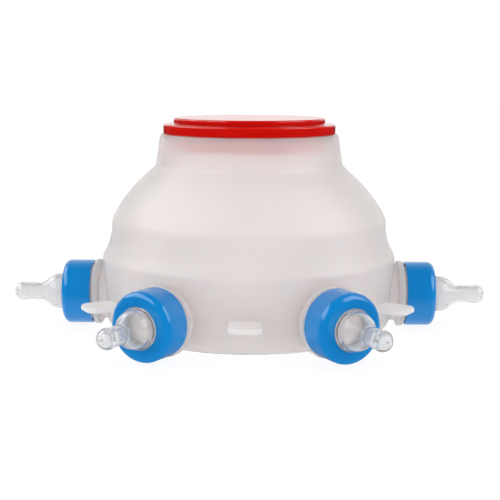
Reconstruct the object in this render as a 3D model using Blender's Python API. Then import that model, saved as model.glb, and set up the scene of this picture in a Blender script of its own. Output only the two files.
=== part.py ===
"""Six-teat nursing feeder: a frosted dome vessel with a lid, screw rings and teats.

Metres, +Z up. The origin is the middle of the vessel's base, where it stands. The teats point
outwards, level, at every sixth of a turn from +X, and the flat lifting tabs lie between them.
"""

import math

import bmesh
import bpy
from mathutils import Matrix, Vector

# Layout
PORTS = 6
FLOOR_GAP = 0.0004
TAB_RISE = 0.0004

# Vessel, outside: radius, height and fillet of each corner of its wall, from the base up
RECESS_RADIUS = 0.0580
RECESS_SLOPE = 0.0020
RECESS_DEPTH = 0.0015
STAND_RADIUS = 0.0760
STAND_FILLET = 0.0080
FOOT_RADIUS = 0.0886
FOOT_HEIGHT = 0.0040
FOOT_FILLET = 0.0060
SHOULDER_RADIUS = 0.0914
SHOULDER_HEIGHT = 0.0462
SHOULDER_FILLET = 0.0040
BAND_RADIUS = 0.0860
BAND_HEIGHT = 0.0565
BAND_FILLET = 0.0300
RIDGE_RADIUS = 0.0852
RIDGE_HEIGHT = 0.0690
RIDGE_FILLET = 0.0100
DOME_RADIUS = 0.0780
DOME_HEIGHT = 0.0835
DOME_FILLET = 0.0700
THROAT_RADIUS = 0.0580
THROAT_HEIGHT = 0.1021
THROAT_FILLET = 0.0030
LEDGE_RADIUS = 0.0550
LEDGE_HEIGHT = 0.1213
LEDGE_FILLET = 0.0018

# Vessel, walls and mouth
BOWL_WALL = 0.0025
BOWL_FLOOR = 0.0022
LEDGE_WIDTH = 0.0038
RIM_WALL = 0.0027
RIM_HEIGHT = 0.0025

# Necks
NECK_ROOT_RADIUS = 0.0170
NECK_WALL = 0.0024
NECK_GAP = 0.0030
NECK_LENGTH = 0.0145
BEAD_WIDTH = 0.0048
BEAD_OVERHANG = 0.0006
BEAD_FILLET = 0.0020

# Screw threads of the necks and the rings
THREAD_PITCH = 0.0042
THREAD_TURNS = 1.5
THREAD_ROOT_WIDTH = 0.0020
THREAD_CREST_WIDTH = 0.0010
THREAD_HEIGHT = 0.0012
THREAD_SUNK = 0.0004
THREAD_LEAD = 0.0055
THREAD_RADIAL_GAP = 0.0004
THREAD_FLANK_GAP = 0.0003
RING_LEAD_FACETS = 4

# Lifting tabs
TAB_LENGTH = 0.0208
TAB_WIDTH = 0.0190
TAB_THICKNESS = 0.0030
TAB_CORNER = 0.0060
TAB_EDGE = 0.0009

# Screw rings
RING_WALL = 0.0014
RING_FACE_THICKNESS = 0.0020
RING_FRONT_FILLET = 0.0042
RING_CORNER_FILLET = 0.0012
RING_HOLE_GAP = 0.0003
RING_BACK_GAP = 0.0009

# Teats
TEAT_WALL = 0.0016
TEAT_FLANGE_THICKNESS = 0.0019
TEAT_LIP_OVERHANG = 0.0011
TEAT_LIP_THICKNESS = 0.0014
TEAT_LIP_FILLET = 0.0006
TEAT_BULB_RADIUS = 0.0110
TEAT_BULB_LENGTH = 0.0050
TEAT_BULB_FILLET = 0.0080
TEAT_FLARE_LENGTH = 0.0077
TEAT_SHAFT_RADIUS = 0.0054
TEAT_SHAFT_LENGTH = 0.0091
TEAT_SHAFT_FILLET = 0.0025
TEAT_TIP_RADIUS = 0.00586
TEAT_TIP_SWELL = 0.0029
TEAT_TIP_WALL = 0.0024
TEAT_HOLE_RADIUS = 0.0005

# Lid and gasket
LID_WALL = 0.0018
LID_SKIRT_WALL = 0.0017
LID_PLUG_LENGTH = 0.0100
LID_PLATEAU_INSET = 0.0014
LID_PLATEAU_HEIGHT = 0.0038
LID_TOP_FILLET = 0.0012
LID_EDGE_FILLET = 0.0010
GASKET_THICKNESS = 0.0012

# Clearances between pieces that touch, or nearly
SEAT_GAP = 0.0003
SLIP_GAP = 0.0003
GASKET_SIDE_GAP = 0.0001

# Facets
BOWL_SEGMENTS = 36
SCREW_SEGMENTS = 18
TEAT_SEGMENTS = 14
ARC_SAG = 0.0003
SHARP_ANGLE = math.radians(32.0)
WELD = 1e-7

# Places and sizes that follow. A distance along a port is from the vessel's axis.
MOUTH_RADIUS = LEDGE_RADIUS - LEDGE_WIDTH - RIM_WALL
RIM_RADIUS = MOUTH_RADIUS + RIM_WALL
RIM_TOP = LEDGE_HEIGHT + RIM_HEIGHT
BORE_RADIUS = NECK_ROOT_RADIUS - NECK_WALL
RING_INNER_RADIUS = NECK_ROOT_RADIUS + THREAD_HEIGHT + THREAD_RADIAL_GAP
RING_RADIUS = RING_INNER_RADIUS + RING_WALL
BEAD_RADIUS = RING_RADIUS + BEAD_OVERHANG
AXIS_HEIGHT = BEAD_RADIUS + FLOOR_GAP
WALL_LEAN = (SHOULDER_RADIUS - FOOT_RADIUS) / (SHOULDER_HEIGHT - FOOT_HEIGHT)
WALL_AT_AXIS = FOOT_RADIUS + WALL_LEAN * (AXIS_HEIGHT - FOOT_HEIGHT)
BEAD_START = WALL_AT_AXIS + NECK_GAP
BEAD_END = BEAD_START + BEAD_WIDTH
NECK_END = BEAD_END + NECK_LENGTH
FLANGE_BACK = NECK_END + SEAT_GAP
FLANGE_FRONT = FLANGE_BACK + TEAT_FLANGE_THICKNESS
RING_BACK = BEAD_END + RING_BACK_GAP
RING_CEILING = FLANGE_FRONT + SEAT_GAP
RING_FRONT = RING_CEILING + RING_FACE_THICKNESS
LID_CEILING = RIM_TOP + GASKET_THICKNESS + 2 * SEAT_GAP


def clear_scene():
    """Remove what a new scene starts with."""
    for obj in list(bpy.data.objects):
        bpy.data.objects.remove(obj)


def principled(name, colour, roughness, alpha=1.0, transmission=0.0):
    """A plain material of one colour."""
    material = bpy.data.materials.new(name)
    material.use_nodes = True
    shader = material.node_tree.nodes["Principled BSDF"]
    shader.inputs["Base Color"].default_value = (*colour, 1.0)
    shader.inputs["Roughness"].default_value = roughness
    shader.inputs["Metallic"].default_value = 0.0
    shader.inputs["Alpha"].default_value = alpha
    shader.inputs["Transmission Weight"].default_value = transmission
    material.diffuse_color = (*colour, alpha)
    return material


def fillet_lengths(corners):
    """How far each corner's fillet reaches along its edges, cut back where two would meet."""
    count = len(corners)
    reach = [0.0] * count
    for i, (x, y, radius) in enumerate(corners):
        if radius <= 0.0:
            continue
        here = Vector((x, y))
        before = (Vector(corners[i - 1][:2]) - here).normalized()
        after = (Vector(corners[(i + 1) % count][:2]) - here).normalized()
        turn = math.pi - before.angle(after)
        reach[i] = radius * math.tan(turn / 2)
    limit = [1.0] * count
    for i in range(count):
        j = (i + 1) % count
        length = (Vector(corners[i][:2]) - Vector(corners[j][:2])).length
        wanted = reach[i] + reach[j]
        if wanted > length:
            limit[i] = min(limit[i], length / wanted)
            limit[j] = min(limit[j], length / wanted)
    return [reach[i] * limit[i] for i in range(count)]


def rounded_outline(corners):
    """Points round a closed outline of (x, y, fillet radius) corners, with fillets as arcs."""
    reach = fillet_lengths(corners)
    points = []
    for i, (x, y, _) in enumerate(corners):
        here = Vector((x, y))
        if reach[i] < WELD:
            points.append(here)
            continue
        before = (Vector(corners[i - 1][:2]) - here).normalized()
        after = (Vector(corners[(i + 1) % len(corners)][:2]) - here).normalized()
        turn = math.pi - before.angle(after)
        radius = reach[i] / math.tan(turn / 2)
        centre = here + (before + after).normalized() * (radius / math.cos(turn / 2))
        start = here + before * reach[i] - centre
        end = here + after * reach[i] - centre
        sweep = start.angle_signed(end)
        widest = 2 * math.acos(max(0.0, 1.0 - ARC_SAG / radius))
        steps = max(1, round(abs(sweep) / widest))
        for k in range(steps + 1):
            angle = -sweep * k / steps
            points.append(centre + Matrix.Rotation(angle, 2) @ start)
    kept = []
    for point in points:
        if not kept or (point - kept[-1]).length > 10 * WELD:
            kept.append(point)
    return kept


def moved_inwards(corners, depths):
    """The outline whose edge from corner i to corner i + 1 lies depths[i] further in.

    The corners run up the outside of a round wall, as (radius, height, fillet).
    """
    lines = []
    for (x0, y0, _), (x1, y1, _), depth in zip(corners, corners[1:], depths):
        along = (Vector((x1, y1)) - Vector((x0, y0))).normalized()
        inwards = Vector((-along.y, along.x))
        lines.append((Vector((x0, y0)) + inwards * depth, along))
    inner = []
    for i in range(1, len(corners) - 1):
        (p, u), (q, v) = lines[i - 1], lines[i]
        cross = u.x * v.y - u.y * v.x
        way = ((q.x - p.x) * v.y - (q.y - p.y) * v.x) / cross
        meet = p + u * way
        bends_in = cross > 0.0
        fillet = corners[i][2]
        depth = max(depths[i - 1], depths[i])
        fillet = max(fillet - depth, fillet * 0.25) if bends_in else fillet + depth
        inner.append((meet.x, meet.y, fillet))
    return inner


def mesh_object(name, bm, material=None):
    """A new object from a bmesh, with its normals out and its round faces smooth."""
    bmesh.ops.remove_doubles(bm, verts=bm.verts, dist=WELD)
    bmesh.ops.recalc_face_normals(bm, faces=bm.faces)
    mesh = bpy.data.meshes.new(name)
    bm.to_mesh(mesh)
    bm.free()
    mesh.shade_smooth()
    mesh.set_sharp_from_angle(angle=SHARP_ANGLE)
    obj = bpy.data.objects.new(name, mesh)
    bpy.context.scene.collection.objects.link(obj)
    if material is not None:
        mesh.materials.append(material)
    return obj


def turned(outline, segments):
    """A solid of revolution about Z, from (radius, height) points in order round its section."""
    bm = bmesh.new()
    verts = [bm.verts.new((point[0], 0.0, point[1])) for point in outline]
    on_axis = [abs(point[0]) < WELD for point in outline]
    edges = []
    for i, vert in enumerate(verts):
        j = (i + 1) % len(verts)
        if not (on_axis[i] and on_axis[j]):
            edges.append(bm.edges.new((vert, verts[j])))
    bmesh.ops.spin(
        bm,
        geom=verts + edges,
        cent=(0.0, 0.0, 0.0),
        axis=(0.0, 0.0, 1.0),
        angle=math.tau,
        steps=segments,
        use_merge=True,
    )
    return bm


def flank_slope():
    """How much a thread's rib narrows on each side, per unit of its height."""
    return (THREAD_ROOT_WIDTH - THREAD_CREST_WIDTH) / 2 / THREAD_HEIGHT


def helical_rib(wall_radius, height, start, inside=False):
    """A screw thread's rib about Z on a round wall, with its foot sunk into the wall."""
    way = -1.0 if inside else 1.0
    foot = wall_radius - way * THREAD_SUNK
    crest = wall_radius + way * height
    crest_half = THREAD_CREST_WIDTH / 2
    foot_half = crest_half + flank_slope() * (height + THREAD_SUNK)
    section = [
        (foot, start - foot_half),
        (crest, start - crest_half),
        (crest, start + crest_half),
        (foot, start + foot_half),
    ]
    steps = round(THREAD_TURNS * SCREW_SEGMENTS)
    bm = bmesh.new()
    face = bm.faces.new([bm.verts.new((radius, 0.0, level)) for radius, level in section])
    bmesh.ops.spin(
        bm,
        geom=[face],
        cent=(0.0, 0.0, 0.0),
        axis=(0.0, 0.0, 1.0),
        dvec=(0.0, 0.0, THREAD_PITCH / SCREW_SEGMENTS),
        angle=math.tau * steps / SCREW_SEGMENTS,
        steps=steps,
    )
    half_facet = Matrix.Rotation(math.pi / SCREW_SEGMENTS, 3, "Z")
    bmesh.ops.rotate(bm, verts=bm.verts, matrix=half_facet)
    return bm


def helper(obj, collection):
    """Keep an object as a tool for another one's Boolean, out of the finished model."""
    obj.hide_render = True
    obj.display_type = "WIRE"
    bpy.context.scene.collection.objects.unlink(obj)
    collection.objects.link(obj)


def tool_collection(name):
    """A collection for Boolean tools."""
    collection = bpy.data.collections.new(name)
    bpy.context.scene.collection.children.link(collection)
    return collection


def combine(obj, operation, collection):
    """Join a collection of tools to an object, or cut them out of it."""
    modifier = obj.modifiers.new(f"{operation.lower()} {collection.name}", "BOOLEAN")
    modifier.operation = operation
    modifier.operand_type = "COLLECTION"
    modifier.collection = collection
    modifier.solver = "EXACT"


def outwards(angle, height):
    """The frame of a port: its Z is level and points out at the given angle, its X points down."""
    return (
        Matrix.Translation((0.0, 0.0, height))
        @ Matrix.Rotation(angle, 4, "Z")
        @ Matrix.Rotation(math.pi / 2, 4, "Y")
    )


def port_angle(index):
    """The direction of port 0 to 5, from +X."""
    return math.tau * index / PORTS


def tab_angle(index):
    """The direction of the tab that follows a port."""
    return port_angle(index) + math.pi / PORTS


def vessel_corners():
    """The vessel's outer wall, from its standing ring up to the ledge round its mouth."""
    return [
        (RECESS_RADIUS + RECESS_SLOPE, 0.0, 0.0),
        (STAND_RADIUS, 0.0, STAND_FILLET),
        (FOOT_RADIUS, FOOT_HEIGHT, FOOT_FILLET),
        (SHOULDER_RADIUS, SHOULDER_HEIGHT, SHOULDER_FILLET),
        (BAND_RADIUS, BAND_HEIGHT, BAND_FILLET),
        (RIDGE_RADIUS, RIDGE_HEIGHT, RIDGE_FILLET),
        (DOME_RADIUS, DOME_HEIGHT, DOME_FILLET),
        (THROAT_RADIUS, THROAT_HEIGHT, THROAT_FILLET),
        (LEDGE_RADIUS, LEDGE_HEIGHT, LEDGE_FILLET),
        (RIM_RADIUS, LEDGE_HEIGHT, 0.0),
    ]


def vessel_outside():
    """The vessel's section, still solid."""
    return [
        (0.0, RECESS_DEPTH, 0.0),
        (RECESS_RADIUS, RECESS_DEPTH, 0.0),
        *vessel_corners(),
        (RIM_RADIUS, RIM_TOP, 0.0),
        (0.0, RIM_TOP, 0.0),
    ]


def vessel_inside():
    """The section of the space in the vessel, which runs out through its mouth."""
    walls = vessel_corners()
    depths = [BOWL_WALL] * (len(walls) - 1)
    depths[0] = RECESS_DEPTH + BOWL_FLOOR
    inner = moved_inwards(walls, depths)
    floor = inner[0][1]
    ceiling = inner[-1][1]
    above = RIM_TOP + RIM_HEIGHT
    return [
        (0.0, floor, 0.0),
        *inner,
        (MOUTH_RADIUS, ceiling, 0.0),
        (MOUTH_RADIUS, above, 0.0),
        (0.0, above, 0.0),
    ]


def wall_radius(height):
    """The vessel's outer radius at a height between its foot and its shoulder."""
    return FOOT_RADIUS + WALL_LEAN * (height - FOOT_HEIGHT)


def neck_section():
    """One neck as a solid bar with its bead, from within the vessel to the neck's end."""
    return [
        (0.0, STAND_RADIUS, 0.0),
        (NECK_ROOT_RADIUS, STAND_RADIUS, 0.0),
        (NECK_ROOT_RADIUS, BEAD_START, 0.0),
        (BEAD_RADIUS, BEAD_START, BEAD_FILLET),
        (BEAD_RADIUS, BEAD_END, BEAD_FILLET),
        (NECK_ROOT_RADIUS, BEAD_END, 0.0),
        (NECK_ROOT_RADIUS, NECK_END, 0.0),
        (0.0, NECK_END, 0.0),
    ]


def bore_section():
    """The hole through a neck, from within the vessel to past the neck's end."""
    past = NECK_END + NECK_WALL
    return [
        (0.0, THROAT_RADIUS, 0.0),
        (BORE_RADIUS, THROAT_RADIUS, 0.0),
        (BORE_RADIUS, past, 0.0),
        (0.0, past, 0.0),
    ]


def tab_mesh():
    """One lifting tab, level, running out along +X from inside the vessel's wall."""
    middle = AXIS_HEIGHT + TAB_RISE
    faces = (middle - TAB_THICKNESS / 2, middle + TAB_THICKNESS / 2)
    root = min(wall_radius(face) for face in faces) - BOWL_WALL / 2
    tip = WALL_AT_AXIS + TAB_LENGTH
    half = TAB_WIDTH / 2
    plan = rounded_outline(
        [
            (root, -half, 0.0),
            (tip, -half, TAB_CORNER),
            (tip, half, TAB_CORNER),
            (root, half, 0.0),
        ]
    )
    bm = bmesh.new()
    base = bm.faces.new([bm.verts.new((x, y, -TAB_THICKNESS / 2)) for x, y in plan])
    grown = bmesh.ops.extrude_face_region(bm, geom=[base])
    top = [item for item in grown["geom"] if isinstance(item, bmesh.types.BMVert)]
    bmesh.ops.translate(bm, verts=top, vec=(0.0, 0.0, TAB_THICKNESS))
    bmesh.ops.recalc_face_normals(bm, faces=bm.faces)
    level = [face for face in bm.faces if abs(face.normal.z) > math.cos(SHARP_ANGLE)]
    bmesh.ops.bevel(
        bm,
        geom=[edge for face in level for edge in face.edges],
        offset=TAB_EDGE,
        segments=2,
        profile=0.5,
        affect="EDGES",
        clamp_overlap=True,
    )
    return bm


def build_bowl(material):
    """The vessel with its necks, beads, threads and tabs, hollow and open at every mouth."""
    bowl = mesh_object("bowl", turned(rounded_outline(vessel_outside()), BOWL_SEGMENTS), material)
    stock = tool_collection("bowl_stock")
    hollow = tool_collection("bowl_hollow")
    neck_outline = rounded_outline(neck_section())
    bore_outline = rounded_outline(bore_section())
    thread_start = BEAD_END + THREAD_LEAD
    for i in range(PORTS):
        port = outwards(port_angle(i), AXIS_HEIGHT)
        neck = mesh_object(f"neck_stock_{i + 1}", turned(neck_outline, SCREW_SEGMENTS), material)
        rib_mesh = helical_rib(NECK_ROOT_RADIUS, THREAD_HEIGHT, thread_start)
        rib = mesh_object(f"neck_thread_{i + 1}", rib_mesh, material)
        bore = mesh_object(f"neck_bore_{i + 1}", turned(bore_outline, SCREW_SEGMENTS), material)
        tab = mesh_object(f"tab_stock_{i + 1}", tab_mesh(), material)
        for obj in (neck, rib, bore):
            obj.matrix_world = port
        tab.location = (0.0, 0.0, AXIS_HEIGHT + TAB_RISE)
        tab.rotation_euler = (0.0, 0.0, tab_angle(i))
        for obj in (neck, rib, tab):
            helper(obj, stock)
        helper(bore, hollow)
    cavity_outline = rounded_outline(vessel_inside())
    cavity = mesh_object("bowl_cavity", turned(cavity_outline, BOWL_SEGMENTS), material)
    helper(cavity, hollow)
    combine(bowl, "UNION", stock)
    combine(bowl, "DIFFERENCE", hollow)


def ring_section():
    """One screw ring's section: a wall round the neck and a face with a hole for the teat."""
    hole = TEAT_BULB_RADIUS + RING_HOLE_GAP
    return [
        (RING_INNER_RADIUS, RING_BACK, 0.0),
        (RING_RADIUS, RING_BACK, 0.0),
        (RING_RADIUS, RING_FRONT, RING_FRONT_FILLET),
        (hole, RING_FRONT, 0.0),
        (hole, RING_CEILING, 0.0),
        (RING_INNER_RADIUS, RING_CEILING, RING_CORNER_FILLET),
    ]


def ring_mesh():
    """The shape that all the screw rings share, along +Z."""
    ring = mesh_object("ring_pattern", turned(rounded_outline(ring_section()), SCREW_SEGMENTS))
    height = THREAD_HEIGHT - THREAD_RADIAL_GAP
    overlap = height - THREAD_RADIAL_GAP
    behind = THREAD_CREST_WIDTH + flank_slope() * overlap + THREAD_FLANK_GAP
    early = RING_LEAD_FACETS / SCREW_SEGMENTS
    start = BEAD_END + THREAD_LEAD - behind - early * THREAD_PITCH
    bm = helical_rib(RING_INNER_RADIUS, height, start, inside=True)
    bmesh.ops.rotate(bm, verts=bm.verts, matrix=Matrix.Rotation(-math.tau * early, 3, "Z"))
    rib = mesh_object("ring_thread", bm)
    modifier = ring.modifiers.new("thread", "BOOLEAN")
    modifier.operation = "UNION"
    modifier.solver = "EXACT"
    modifier.object = rib
    graph = bpy.context.evaluated_depsgraph_get()
    shape = bpy.data.meshes.new_from_object(ring.evaluated_get(graph))
    for obj in (ring, rib):
        bpy.data.objects.remove(obj)
    shape.name = "screw_ring"
    return shape


def teat_section():
    """One teat's section: up its outside from the flange to the tip, then down its inside."""
    lip_back = RING_FRONT + SEAT_GAP
    lip_front = lip_back + TEAT_LIP_THICKNESS
    lip_radius = TEAT_BULB_RADIUS + TEAT_LIP_OVERHANG
    bulb_end = lip_front + TEAT_BULB_LENGTH
    shaft_start = bulb_end + TEAT_FLARE_LENGTH
    shaft_end = shaft_start + TEAT_SHAFT_LENGTH
    tip_centre = shaft_end + TEAT_TIP_SWELL
    tip = tip_centre + TEAT_TIP_RADIUS
    hollow_tip = tip - TEAT_TIP_WALL
    bulb_inner = TEAT_BULB_RADIUS - TEAT_WALL
    shaft_inner = TEAT_SHAFT_RADIUS - TEAT_WALL
    return [
        (bulb_inner, FLANGE_BACK, 0.0),
        (NECK_ROOT_RADIUS, FLANGE_BACK, 0.0),
        (NECK_ROOT_RADIUS, FLANGE_FRONT, 0.0),
        (TEAT_BULB_RADIUS, FLANGE_FRONT, 0.0),
        (TEAT_BULB_RADIUS, lip_back, 0.0),
        (lip_radius, lip_back, 0.0),
        (lip_radius, lip_front, TEAT_LIP_FILLET),
        (TEAT_BULB_RADIUS, lip_front, 0.0),
        (TEAT_BULB_RADIUS, bulb_end, TEAT_BULB_FILLET),
        (TEAT_SHAFT_RADIUS, shaft_start, TEAT_SHAFT_FILLET),
        (TEAT_SHAFT_RADIUS, shaft_end, 0.0),
        (TEAT_TIP_RADIUS, tip_centre, 0.0),
        (TEAT_TIP_RADIUS, tip, TEAT_TIP_RADIUS),
        (TEAT_HOLE_RADIUS, tip, 0.0),
        (TEAT_HOLE_RADIUS, hollow_tip, 0.0),
        (shaft_inner, hollow_tip, shaft_inner / 2),
        (shaft_inner, shaft_start, TEAT_SHAFT_FILLET),
        (bulb_inner, bulb_end - TEAT_WALL / 2, TEAT_BULB_FILLET - TEAT_WALL),
    ]


def teat_mesh():
    """The shape that all the teats share, along +Z."""
    pattern = mesh_object("teat_pattern", turned(rounded_outline(teat_section()), TEAT_SEGMENTS))
    shape = pattern.data
    bpy.data.objects.remove(pattern)
    shape.name = "teat"
    return shape


def build_ports(ring_material, teat_material):
    """A screw ring and a teat on every neck. Each has its origin on its port's axis."""
    ring_shape = ring_mesh()
    teat_shape = teat_mesh()
    ring_shape.materials.append(ring_material)
    teat_shape.materials.append(teat_material)
    for i in range(PORTS):
        axis = bpy.data.objects.new(f"port_{i + 1}_axis", None)
        axis.matrix_world = outwards(port_angle(i), AXIS_HEIGHT)
        bpy.context.scene.collection.objects.link(axis)
        for name, shape in (("collar", ring_shape), ("teat", teat_shape)):
            piece = bpy.data.objects.new(f"{name}_{i + 1}", shape)
            piece.parent = axis
            bpy.context.scene.collection.objects.link(piece)


def lid_section():
    """The lid's section: a channel over the mouth's rim, a plug inside it and a raised top."""
    skirt_inner = RIM_RADIUS + SLIP_GAP
    skirt_outer = skirt_inner + LID_SKIRT_WALL
    skirt_end = LEDGE_HEIGHT + SEAT_GAP
    plug_outer = MOUTH_RADIUS - SLIP_GAP
    plug_inner = plug_outer - LID_WALL
    plug_end = LEDGE_HEIGHT - LID_PLUG_LENGTH
    plateau = plug_outer - LID_PLATEAU_INSET
    plateau_inner = plateau - LID_WALL
    step = LID_CEILING + LID_WALL
    top = step + LID_PLATEAU_HEIGHT
    return [
        (0.0, top, 0.0),
        (plateau, top, LID_TOP_FILLET),
        (plateau, step, 0.0),
        (skirt_outer, step, LID_EDGE_FILLET),
        (skirt_outer, skirt_end, 0.0),
        (skirt_inner, skirt_end, 0.0),
        (skirt_inner, LID_CEILING, 0.0),
        (plug_outer, LID_CEILING, 0.0),
        (plug_outer, plug_end, 0.0),
        (plug_inner, plug_end, 0.0),
        (plug_inner, LID_CEILING, 0.0),
        (plateau_inner, LID_CEILING, 0.0),
        (plateau_inner, top - LID_WALL, 0.0),
        (0.0, top - LID_WALL, 0.0),
    ]


def gasket_section():
    """The flat ring between the mouth's rim and the lid."""
    inner = MOUTH_RADIUS + GASKET_SIDE_GAP
    outer = RIM_RADIUS - GASKET_SIDE_GAP
    bottom = RIM_TOP + SEAT_GAP
    top = bottom + GASKET_THICKNESS
    return [(inner, bottom, 0.0), (outer, bottom, 0.0), (outer, top, 0.0), (inner, top, 0.0)]


def main():
    """Build every piece."""
    clear_scene()
    frosted = principled("frosted_polyethylene", (0.78, 0.72, 0.71), 0.45, alpha=0.9)
    red = principled("red_plastic", (0.58, 0.012, 0.004), 0.18)
    blue = principled("blue_plastic", (0.012, 0.20, 0.56), 0.22)
    clear = principled("clear_silicone", (0.86, 0.86, 0.86), 0.12, alpha=0.5, transmission=0.6)
    white = principled("white_silicone", (0.70, 0.70, 0.68), 0.50)
    build_bowl(frosted)
    mesh_object("lid", turned(rounded_outline(lid_section()), BOWL_SEGMENTS), red)
    mesh_object("lid_gasket", turned(rounded_outline(gasket_section()), BOWL_SEGMENTS), white)
    build_ports(blue, clear)


main()
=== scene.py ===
"""The looks of a six-teat nursing feeder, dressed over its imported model.

Metres, +Z up. The vessel stands on Z = 0 with its axis on Z. Six ports point out level from it,
port 1 along +X and the others at every sixth of a turn, with a lifting tab between each pair.
"""

import logging
import math
from collections.abc import Sequence
from dataclasses import dataclass, field, replace
from enum import Enum

import bmesh
import bpy
from mathutils import Matrix, Vector


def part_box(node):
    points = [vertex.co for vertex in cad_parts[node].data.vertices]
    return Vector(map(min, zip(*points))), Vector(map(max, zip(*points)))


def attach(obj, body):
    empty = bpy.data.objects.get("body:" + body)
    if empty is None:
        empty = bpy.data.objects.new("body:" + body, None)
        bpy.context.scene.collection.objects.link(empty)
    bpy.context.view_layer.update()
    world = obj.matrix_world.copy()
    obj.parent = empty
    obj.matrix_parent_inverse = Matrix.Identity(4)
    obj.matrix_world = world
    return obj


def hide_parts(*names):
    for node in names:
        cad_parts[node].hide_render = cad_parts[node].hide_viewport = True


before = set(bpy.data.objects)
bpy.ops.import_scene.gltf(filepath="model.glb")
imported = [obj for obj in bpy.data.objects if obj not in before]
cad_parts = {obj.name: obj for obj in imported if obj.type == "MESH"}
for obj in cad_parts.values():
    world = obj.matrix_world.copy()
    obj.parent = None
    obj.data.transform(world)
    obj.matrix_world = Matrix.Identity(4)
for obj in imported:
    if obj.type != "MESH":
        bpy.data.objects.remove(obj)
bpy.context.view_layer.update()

log = logging.getLogger("nursing_feeder")

PORTS = 6
WELD = 1e-7
UP = (0.0, 0.0, 1.0)
CENTRE = (0.0, 0.0, 0.0)
ROUND_PROFILE = 0.5
LEAST_ARC_STEPS = 2
LEAST_INNER_FILLET = 0.25

Colour = tuple[float, float, float]


class Crease(Enum):
    """The angle in degrees past which an edge is shaded as a sharp one."""

    SOFT = 50.0
    PLAIN = 34.0


class Tint(Enum):
    """Colours that the coloured plastics are moulded in: their own, and where they drift to."""

    LID_RED = ((0.84, 0.006, 0.0015), (0.79, 0.005, 0.0015))
    RING_BLUE = ((0.003, 0.252, 0.67), (0.003, 0.222, 0.61))


class NodeSheet:
    """Adds and links the nodes of one shader tree."""

    def __init__(self, tree: bpy.types.NodeTree) -> None:
        """Start with an empty tree."""
        self.tree = tree
        self.tree.nodes.clear()

    def add(self, kind: str, values: dict | None = None, **settings: object) -> bpy.types.Node:
        """Add one node.

        Args:
            kind: the node's class, without its leading "ShaderNode" where it has one.
            values: default values of its input sockets, by name.
            settings: its own properties.

        Returns:
            The new node.
        """
        prefix = "" if kind.startswith("Node") else "ShaderNode"
        node = self.tree.nodes.new(prefix + kind)
        for name, value in settings.items():
            setattr(node, name, value)
        for name, value in (values or {}).items():
            node.inputs[name].default_value = value
        return node

    def link(self, out: bpy.types.NodeSocket, into: bpy.types.NodeSocket) -> None:
        """Link an output socket to an input socket."""
        self.tree.links.new(out, into)

    def feed(self, value: float | bpy.types.NodeSocket, into: bpy.types.NodeSocket) -> None:
        """Give an input socket a plain number, or link an output socket to it."""
        if isinstance(value, bpy.types.NodeSocket):
            self.link(value, into)
        else:
            into.default_value = value

    def math(
        self,
        operation: str,
        first: float | bpy.types.NodeSocket,
        second: float | bpy.types.NodeSocket,
    ) -> bpy.types.NodeSocket:
        """The result of a sum on two values."""
        node = self.add("Math", operation=operation)
        self.feed(first, node.inputs[0])
        self.feed(second, node.inputs[1])
        return node.outputs[0]

    def graded(
        self, value: bpy.types.NodeSocket, source: tuple[float, float], result: tuple[float, float]
    ) -> bpy.types.NodeSocket:
        """A value taken smoothly from one range to another, and held at the other's ends."""
        limits = {"From Min": source[0], "From Max": source[1], "To Min": result[0], "To Max": result[1]}
        node = self.add("MapRange", limits, interpolation_type="SMOOTHSTEP")
        self.link(value, node.inputs["Value"])
        return node.outputs["Result"]

    def mixed(
        self,
        share: bpy.types.NodeSocket,
        first: bpy.types.NodeSocket,
        second: bpy.types.NodeSocket,
    ) -> bpy.types.NodeSocket:
        """One shader mixed with that share of a second."""
        node = self.add("MixShader")
        self.link(share, node.inputs["Fac"])
        self.link(first, node.inputs[1])
        self.link(second, node.inputs[2])
        return node.outputs["Shader"]


def rgba(colour: Colour) -> tuple[float, float, float, float]:
    """A colour with full alpha."""
    return (*colour, 1.0)


class Effect:
    """A pattern that several materials share, kept as one shader node group."""

    name = ""
    inputs: dict[str, tuple[str, object]] = {}
    output = ("Value", "NodeSocketFloat")

    @classmethod
    def group(cls) -> bpy.types.NodeTree:
        """The node group, built the first time that it is asked for."""
        found = bpy.data.node_groups.get(cls.name)
        if found:
            return found
        tree = bpy.data.node_groups.new(cls.name, "ShaderNodeTree")
        tree.interface.new_socket("Vector", in_out="INPUT", socket_type="NodeSocketVector")
        for name, (kind, value) in cls.inputs.items():
            socket = tree.interface.new_socket(name, in_out="INPUT", socket_type=kind)
            socket.default_value = value
        tree.interface.new_socket(cls.output[0], in_out="OUTPUT", socket_type=cls.output[1])
        sheet = NodeSheet(tree)
        source = sheet.add("NodeGroupInput")
        result = cls.draw(sheet, source)
        sink = sheet.add("NodeGroupOutput")
        sheet.link(result, sink.inputs[0])
        return tree

    @classmethod
    def draw(cls, sheet: NodeSheet, source: bpy.types.Node) -> bpy.types.NodeSocket:
        """Add the effect's own nodes.

        Args:
            sheet: the group's tree.
            source: its input node.

        Returns:
            The socket that the group puts out.
        """
        raise NotImplementedError

    @classmethod
    def place(
        cls, sheet: NodeSheet, vector: bpy.types.NodeSocket, **values: object
    ) -> bpy.types.NodeSocket:
        """Place the effect in a material.

        Args:
            sheet: the material's tree.
            vector: the coordinates that the pattern follows.
            values: the group's inputs, by name in lower case.

        Returns:
            The effect's output socket.
        """
        node = sheet.add("Group", node_tree=cls.group())
        sheet.link(vector, node.inputs["Vector"])
        for name, value in values.items():
            node.inputs[name.capitalize()].default_value = value
        return node.outputs[0]


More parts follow.
